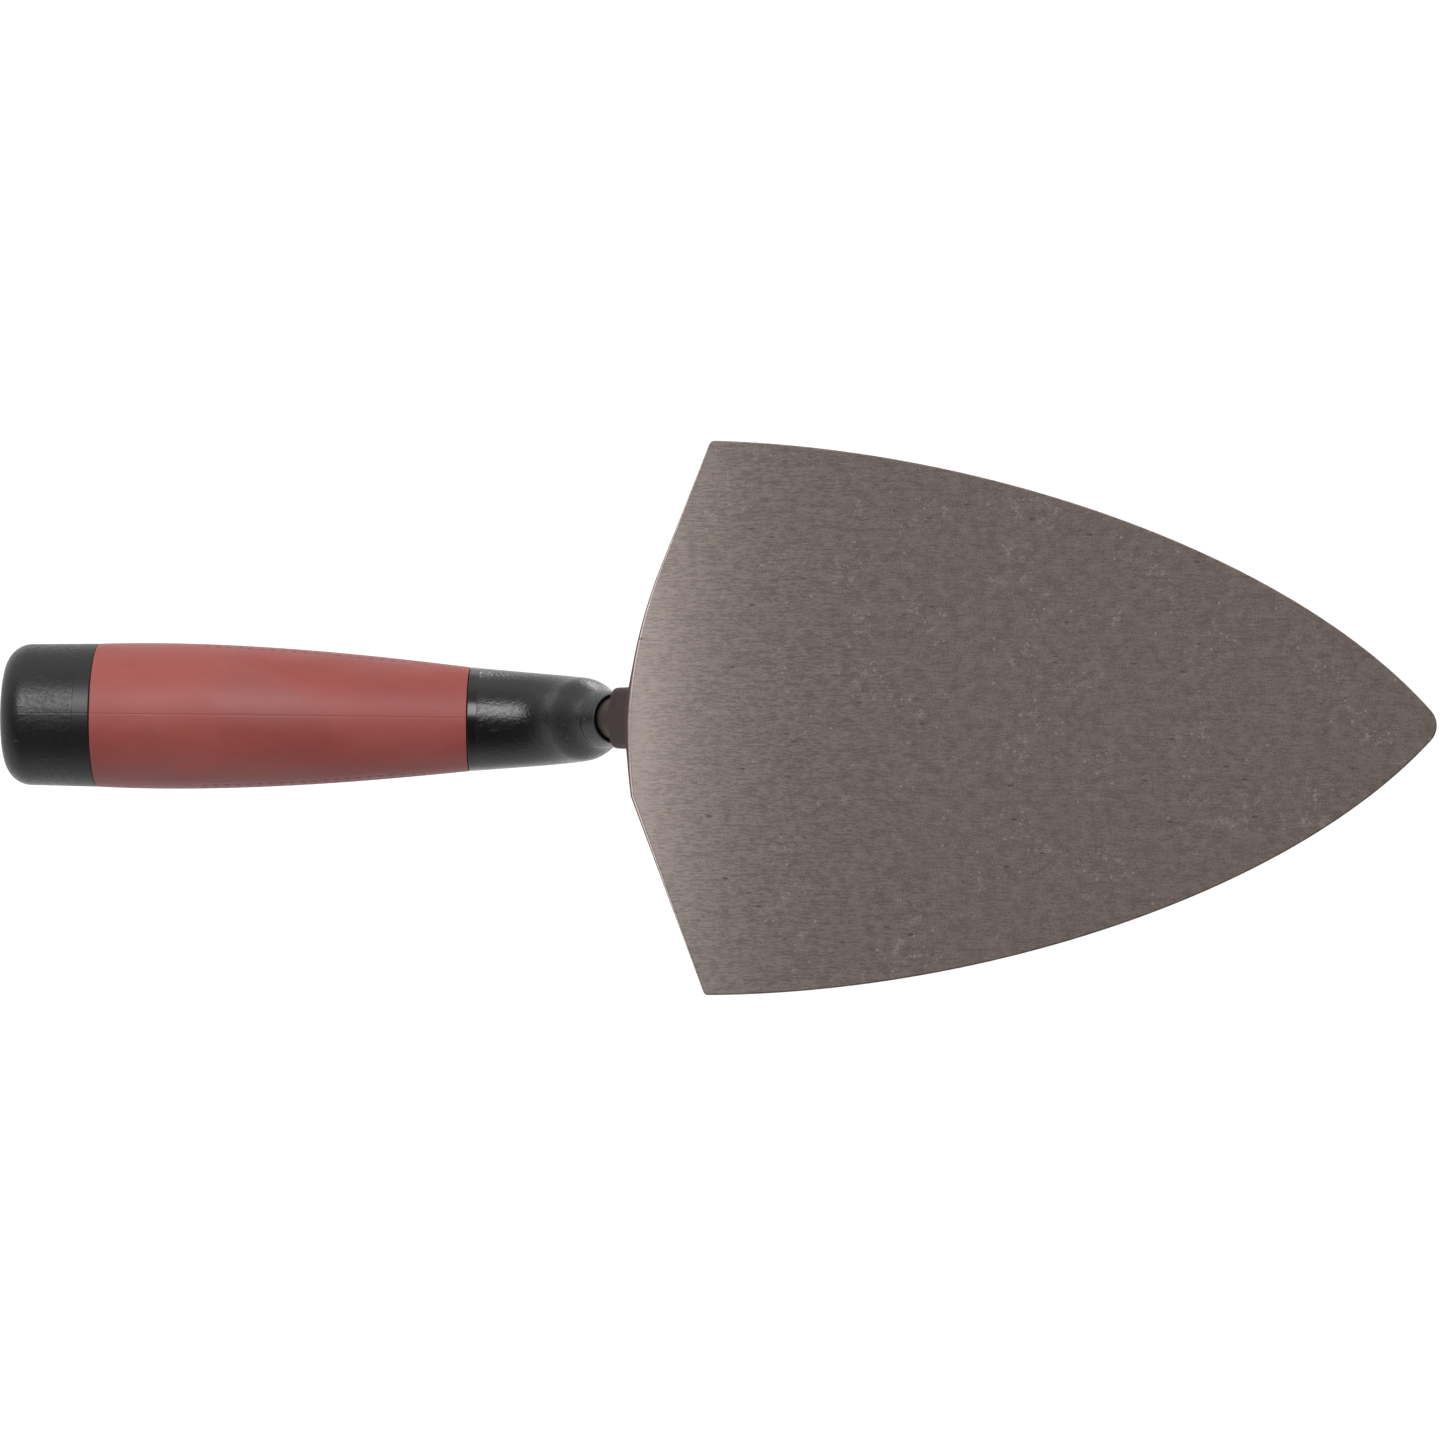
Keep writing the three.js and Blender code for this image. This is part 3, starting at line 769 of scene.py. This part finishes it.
def partingLine(angles, radius, depth, width=0.14):
    # Groove across the parting plane: a narrow bell of the distance from it, measured round the piece.
    return depth * np.exp(-((fromParting(angles)[None, :] * radius[:, None]) / width) ** 2)


grip = dict(
    length=88.6,
    gap=0.05,                 # at each end, to the nose and to the cap
    frontRadius=12.4,
    rearRadius=17.05,
    frontPull=(11.75, 13.63),   # control points of the swell, as (distance, radius)
    rearPull=(52.0, 18.6),
    innerFront=10.5,
    innerRear=13.9,
    edge=0.2,
    partingDepth=0.035,
    padFrom=8.0,              # dimpled pad on each side, by distance from the front seam
    padTo=66.0,
    padFade=3.0,
    padHalfAngle=24.0,
    dimplePitch=2.6,
    dimpleDepth=0.22,
)

nose = dict(
    flare=((0, 6.4), (4.2, 7.1), (6.2, 9.6), (11, 9.95)),   # cubic from the mouth: (distance, radius)
    seamRadius=12.4,
    band=2.75,
    bandStep=0.02,            # how far the smooth band stands out
)

core = dict(
    tubeFront=10.2,           # radius of the tube under the grip, at its front and rear
    tubeRear=13.6,
    tubeGap=0.3,              # from the tube's rear to the grip's
    hollowRadius=10.5,
    hollowDepth=15.0,
    mouthBore=5.5,
    tangBore=((4, 4.9), (8, 4.5)),   # (distance, radius) where the bore for the tang narrows
    tangBoreEnd=3.4,
    tangGap=0.3,
)

cap = dict(
    gap=0.03,
    length=22.8,              # from the end of the grip to the middle of the butt
    frontRadius=17.05,
    rearRadius=16.75,
    dome=1.0,
    edge=6.0,
    band=4.0,
    spigotRadius=10.2,
    spigotLength=12.0,
    spigotBore=8.0,
    endWall=9.0,              # from the end of the spigot's bore to the butt
    partingDepth=0.015,
)


def gripRings():
    # Outer profile: a cubic that swells to the rear, between two rounded ends. The bore is a plain cone.
    angles = handleAngles(300)
    front, rear = grip["gap"], grip["length"] - grip["gap"]
    frontCorner, rearCorner = (front, grip["frontRadius"]), (rear, grip["rearRadius"])
    swell = bezier([frontCorner, grip["frontPull"], grip["rearPull"], rearCorner], 260)
    e = grip["edge"]
    inFront, inRear = grip["innerFront"], grip["innerRear"]
    swell = swell[(swell[:, 0] > front + e) & (swell[:, 0] < rear - e)]
    frontEdge = roundCorners([(front, inFront, 0), (*frontCorner, e), (*swell[0], 0)])
    rearEdge = roundCorners([(*swell[-1], 0), (*rearCorner, e), (rear, inRear, 0)])
    profile = np.vstack([frontEdge[:-1], swell, rearEdge[1:]])
    distance, radius = profile.T
    onSkin = (np.minimum(distance - front, rear - distance) > 0.3)[:, None]
    groove = partingLine(angles, radius, grip["partingDepth"]) * onSkin

    # Dimples: the mean of one cosine along the grip and one round it, where it is above zero, to the power
    # 1.5. They fade out at the pad's borders.
    aroundSide = fromParting(angles)
    aroundSide = np.where(aroundSide >= 0, aroundSide - np.pi / 2, aroundSide + np.pi / 2)
    arc = aroundSide[None, :] * radius[:, None]
    turn = 2 * np.pi / grip["dimplePitch"]
    bumps = np.clip((np.cos(turn * distance[:, None]) + np.cos(turn * arc)) / 2, 0, 1) ** 1.5
    half = np.radians(grip["padHalfAngle"])
    across = 1 - smoothStep(half * 0.8, half, np.abs(aroundSide))[None, :]
    lengthwise = smoothStep(grip["padFrom"], grip["padFrom"] + grip["padFade"], distance)
    lengthwise = lengthwise * (1 - smoothStep(grip["padTo"] - grip["padFade"], grip["padTo"], distance))
    dimples = bumps * across * lengthwise[:, None]
    outer = radius[:, None] - groove - grip["dimpleDepth"] * dimples
    bore = bezier([(rear, inRear), (front, inFront)], 12)[1:-1]
    allDistance = np.concatenate([distance, bore[:, 0]])
    allRadius = np.vstack([outer, np.broadcast_to(bore[:, 1:], (len(bore), len(angles)))])
    rings = sweepRings(seamDistance + allDistance, allRadius, allRadius, angles)
    recess = np.zeros(allRadius.shape)
    # Recess mark for the dirt and painted shade in the parting line and the dimples.
    recess[:len(distance)] = np.clip(groove / grip["partingDepth"] * 0.22 + dimples * 0.8, 0, 1)
    return rings, recess


def coreRings():
    # One profile: the hollow's end, its wall, the tube under the grip, the nose down to its mouth, and the
    # bore for the tang.
    angles = handleAngles()
    mouthR, seamR = nose["flare"][0][1], nose["seamRadius"]
    tubeEnd = seamDistance + grip["length"] - core["tubeGap"]
    noseDistance = np.linspace(seamDistance - 0.35, 0.3, 120)
    flare = np.vstack([bezier(nose["flare"], 40), (seamDistance, seamR)])
    noseRadius = np.interp(noseDistance, *flare.T)
    bandEnd = seamDistance - nose["band"]
    noseRadius -= nose["bandStep"] * (1 - smoothStep(bandEnd - 0.12, bandEnd, noseDistance))
    # More rings where the smooth band starts and ends.
    bandRows = np.array([seamDistance - 0.38, seamDistance - 0.42, bandEnd + 0.1, bandEnd, bandEnd - 0.06,
                         bandEnd - 0.12, bandEnd - 0.22])
    order = np.argsort(-np.concatenate([noseDistance, bandRows]))
    bandRadius = np.interp(bandRows, noseDistance[::-1], noseRadius[::-1])
    outerDistance = np.concatenate([noseDistance, bandRows])[order]
    outerRadius = np.concatenate([noseRadius, bandRadius])[order]

    hollowEnd = tubeEnd - core["hollowDepth"]
    back = [(hollowEnd, 0), (hollowEnd, core["hollowRadius"]), (tubeEnd, core["hollowRadius"]),
            (tubeEnd, core["tubeRear"]), (seamDistance + 0.2, core["tubeFront"]),
            (seamDistance, core["tubeFront"]), (seamDistance - 0.05, seamR - 0.3),
            (seamDistance - 0.2, seamR - 0.08)]
    lip = [(0.05, mouthR - 0.12), (0, mouthR - 0.4), (0, core["mouthBore"]), (0.2, core["mouthBore"] - 0.2)]
    tangEnd = seamDistance + root["tangReach"] + core["tangGap"]
    narrows = np.array([*core["tangBore"], (tangEnd, core["tangBoreEnd"])])
    boreDistance = np.linspace(narrows[0, 0], tangEnd, 40)
    bore = np.column_stack([boreDistance, np.interp(boreDistance, *narrows.T)])
    profile = np.vstack([back, np.column_stack([outerDistance, outerRadius]), lip, bore, (tangEnd, 0)])
    distance, radius = profile.T
    smoothBand = np.broadcast_to(smoothStep(bandEnd - 0.1, bandEnd, distance)[:, None],
                                 (len(distance), len(angles)))
    rings = sweepRings(distance, radius, radius, angles)
    return rings, smoothBand


gripGrid, gripRecess = gripRings()
gripPiece = putSurface("softGrip", gripGrid, redRubber, looped=True, marks={"recess": gripRecess})
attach(gripPiece, "root")
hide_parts("soft_grip")

coreGrid, coreBand = coreRings()
corePiece = putSurface("handleCore", coreGrid[::-1], corePlastic, startPole=True, endPole=True,
                       marks={"smoothBand": coreBand[::-1]})
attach(corePiece, "root")
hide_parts("handle_core")


def capProfile():
    # Spigot, shoulder, barrel, a quarter-round edge and a shallow dome, from the bore to the butt.
    c = cap
    front = grip["length"] + c["gap"]
    rear = grip["length"] + c["length"]
    cavity = rear - c["endWall"]
    inside = [(cavity, 0), (cavity, c["spigotBore"]), (front - c["spigotLength"], c["spigotBore"]),
              (front - c["spigotLength"], c["spigotRadius"]), (front, c["spigotRadius"]),
              (front, c["frontRadius"] - 0.3), (front + 0.08, c["frontRadius"] - 0.08)]
    bandEnd = front + c["band"]
    barrel = np.sort(np.append(np.linspace(front + 0.3, rear - c["dome"] - c["edge"], 60),
                               [front + 0.34, bandEnd - 0.1, bandEnd]))
    barrelRadius = np.interp(barrel, [front, rear], [c["frontRadius"], c["rearRadius"] - 0.05])
    angle = np.linspace(0, np.pi / 2, 26)[1:]
    edgeRadius = barrelRadius[-1] - c["edge"] * (1 - np.cos(angle))
    edge = rear - c["dome"] - c["edge"] + c["edge"] * np.sin(angle)
    faceRadius = np.linspace(edgeRadius[-1], 0, 26)[1:]
    dome = rear - c["dome"] * (faceRadius / edgeRadius[-1]) ** 2
    return np.vstack([
        inside,
        np.column_stack([barrel, barrelRadius]),
        np.column_stack([edge, edgeRadius]),
        np.column_stack([dome, faceRadius]),
    ]), front


def capSurface():
    angles = handleAngles()
    profile, front = capProfile()
    distance, radius = profile.T
    groove = partingLine(angles, radius, cap["partingDepth"], 0.12) * (distance > front)[:, None]
    rounded = np.maximum(radius[:, None] - groove * (radius[:, None] > 12), 0)
    rings = sweepRings(seamDistance + distance, rounded, rounded, angles)
    band = 1 - smoothStep(front + cap["band"] - 0.1, front + cap["band"], distance)
    return rings, np.broadcast_to(band[:, None], rings.shape[:2])


capGrid, capBand = capSurface()
capPiece = putSurface("endCap", capGrid, capPlastic, startPole=True, endPole=True,
                      marks={"smoothBand": capBand})
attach(capPiece, "root")
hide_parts("end_cap")
print("pieces made")


# The floor, the light and the camera are the studio, which the trowel doesn't take with it.

studio = dict(
    target=(2.9, 0.53, 0.0),  # middle of the view, on the blade's underside
    cameraSide=25.0,          # how far the camera stands off to the left of the blade's middle
    cameraDistance=1150.0,
    roll=0.64,
    viewWidth=329.5,          # width of the view at the underside
    keyAngle=22.0,            # of the main softbox from straight below, to the right side
    keyBack=15.5,             # and to the rear
    keyDistance=900.0,
    keySize=(440.0, 760.0),
    keyRadiance=6.6,
    bladeDistance=1600.0,     # of the panel behind the camera that only the blade reflects
    bladeSize=1500.0,
    bladeRadiance=0.27,
    topSpot=(500, -350, 800),
    topSize=(500, 700),
    topRadiance=2.0,
    noseRearSpot=(-780, -480, 260),   # two small softboxes that only the nose reflects
    noseRearSize=(480, 400),
    noseRearRadiance=0.5,
    noseSideSpot=(130, -690, 555),
    noseSideSize=(290, 270),
    noseSideRadiance=5.0,
    # Strength of the white world, as (height, strength): 0 is straight down and 1 is straight up.
    world=((0.0, 0.08), (0.11, 0.06), (0.235, 0.17), (0.36, 0.44), (0.53, 0.85), (0.8, 0.85), (1.0, 1.1)),
    sideGlow=0.6,             # added below, towards the main softbox's side
    floorDark=(0.74, 0.74, 0.74, 1),
    floorPale=(0.78, 0.78, 0.78, 1),
    floorReach=6000.0,
    floorDrop=0.4,            # below the blade
)


def addFloor():
    # Pale floor just under the blade. It is clear from below, and it neither shades nor lights the trowel.
    material = bpy.data.materials.new("paleFloor")
    material.use_nodes = True
    tree = material.node_tree
    shader = tree.nodes["Principled BSDF"]
    place = addNode(tree, "ShaderNodeTexCoord").outputs["Object"]
    cloud = noise(tree, place, 3.0, detail=2)
    cloud = mapRange(tree, cloud, 0.3, 0.7, 0, 1)
    tint = mixColor(tree, cloud, studio["floorDark"], studio["floorPale"])
    tree.links.new(tint, shader.inputs["Base Color"])
    shader.inputs["Roughness"].default_value = 0.8
    clear = addNode(tree, "ShaderNodeBsdfTransparent").outputs[0]
    back = addNode(tree, "ShaderNodeNewGeometry").outputs["Backfacing"]
    mixed = addNode(tree, "ShaderNodeMixShader", {0: back, 1: shader.outputs[0], 2: clear})
    tree.links.new(mixed.outputs[0], tree.nodes["Material Output"].inputs["Surface"])
    size, z = studio["floorReach"] * mm, -studio["floorDrop"] * mm
    corners = [(-size, -size, z), (size, -size, z), (size, size, z), (-size, size, z)]
    mesh = bpy.data.meshes.new("floor")
    mesh.from_pydata(corners, [], [(0, 1, 2, 3)])
    mesh.materials.append(material)
    floor = bpy.data.objects.new("floor", mesh)
    bpy.context.scene.collection.objects.link(floor)
    floor.visible_diffuse = floor.visible_glossy = floor.visible_transmission = False
    floor.visible_shadow = False


def lookFrom(spot, target, up):
    # Matrix whose local -Z points from the spot to the target.
    ahead = (Vector(target) - Vector(spot)).normalized()
    right = ahead.cross(Vector(up)).normalized()
    top = right.cross(ahead)
    matrix = Matrix((right, top, -ahead)).transposed().to_4x4()
    matrix.translation = Vector(spot)
    return matrix


def addSoftbox(name, spot, size, radiance, only=None, up=(1, 0, 0)):
    # Area light with a given radiance: its power is radiance times four times area. It lights every piece,
    # or only the ones that are named, the way a flag keeps a lamp off the rest.
    light = bpy.data.lights.new(name, "AREA")
    light.shape = "RECTANGLE"
    width, height = np.array(size) * mm
    light.size, light.size_y = width, height
    light.energy = radiance * 4 * width * height
    holder = bpy.data.objects.new(name, light)
    bpy.context.scene.collection.objects.link(holder)
    holder.matrix_world = lookFrom(Vector(spot) * mm, (0, 0, 0.02), up)
    if only:
        lit = bpy.data.collections.new(name + "Lit")
        for piece in only:
            lit.objects.link(piece)
        holder.light_linking.receiver_collection = lit


def addWorld():
    # White all round, dim straight below, where the camera stands, and brighter on the main softbox's side.
    world = bpy.data.worlds.new("studio")
    bpy.context.scene.world = world
    world.use_nodes = True
    tree = world.node_tree
    way = addNode(tree, "ShaderNodeTexCoord").outputs["Generated"]
    axes = addNode(tree, "ShaderNodeSeparateXYZ", {"Vector": way}).outputs
    ramp = addNode(tree, "ShaderNodeValToRGB", {"Fac": mapRange(tree, axes["Z"], -1, 1, 0, 1, smooth=False)})
    for i, (position, value) in enumerate(studio["world"]):
        element = ramp.color_ramp.elements[i] if i < 2 else ramp.color_ramp.elements.new(position)
        element.position = position
        element.color = (value, value, value, 1)
    side = mathNode(tree, "MULTIPLY", axes["Y"], -studio["sideGlow"], clamp=True)
    below = mapRange(tree, axes["Z"], -0.2, 0.2, 1, 0)
    glow = mathNode(tree, "MULTIPLY", side, below)
    light = mathNode(tree, "ADD", ramp.outputs["Color"], glow)
    tree.links.new(light, tree.nodes["Background"].inputs["Strength"])
    tree.nodes["Background"].inputs["Color"].default_value = (1, 1, 1, 1)


def addCamera():
    roll = np.radians(studio["roll"])
    camera = bpy.data.cameras.new("camera")
    camera.sensor_width = 36
    camera.lens = 36 * studio["cameraDistance"] / studio["viewWidth"]
    camera.clip_start, camera.clip_end = 0.01, 50
    holder = bpy.data.objects.new("camera", camera)
    bpy.context.scene.collection.objects.link(holder)
    target = Vector(studio["target"]) * mm
    spot = target + Vector((0, studio["cameraSide"], -studio["cameraDistance"])) * mm
    holder.matrix_world = lookFrom(spot, target, (-np.sin(roll), -np.cos(roll), 0))
    bpy.context.scene.camera = holder


addFloor()
addWorld()
keyTurn, keyBack = np.radians([studio["keyAngle"], studio["keyBack"]])
keySpot = studio["keyDistance"] * np.array([-np.sin(keyBack), -np.sin(keyTurn), -np.cos(keyTurn)])
addSoftbox("keySoftbox", keySpot, studio["keySize"], studio["keyRadiance"],
           only=(corePiece, gripPiece, capPiece, collarPiece))
addSoftbox("bladePanel", (0, 0, -studio["bladeDistance"]), (studio["bladeSize"], studio["bladeSize"]),
           studio["bladeRadiance"], only=(forging,))
addSoftbox("topSoftbox", studio["topSpot"], studio["topSize"], studio["topRadiance"])
addSoftbox("noseRearSoftbox", studio["noseRearSpot"], studio["noseRearSize"], studio["noseRearRadiance"],
           only=(corePiece,), up=(0, 0, 1))
addSoftbox("noseSideSoftbox", studio["noseSideSpot"], studio["noseSideSize"], studio["noseSideRadiance"],
           only=(corePiece,), up=(0, 0, 1))
addCamera()
bpy.context.scene.view_settings.view_transform = "Standard"
print("studio ready")
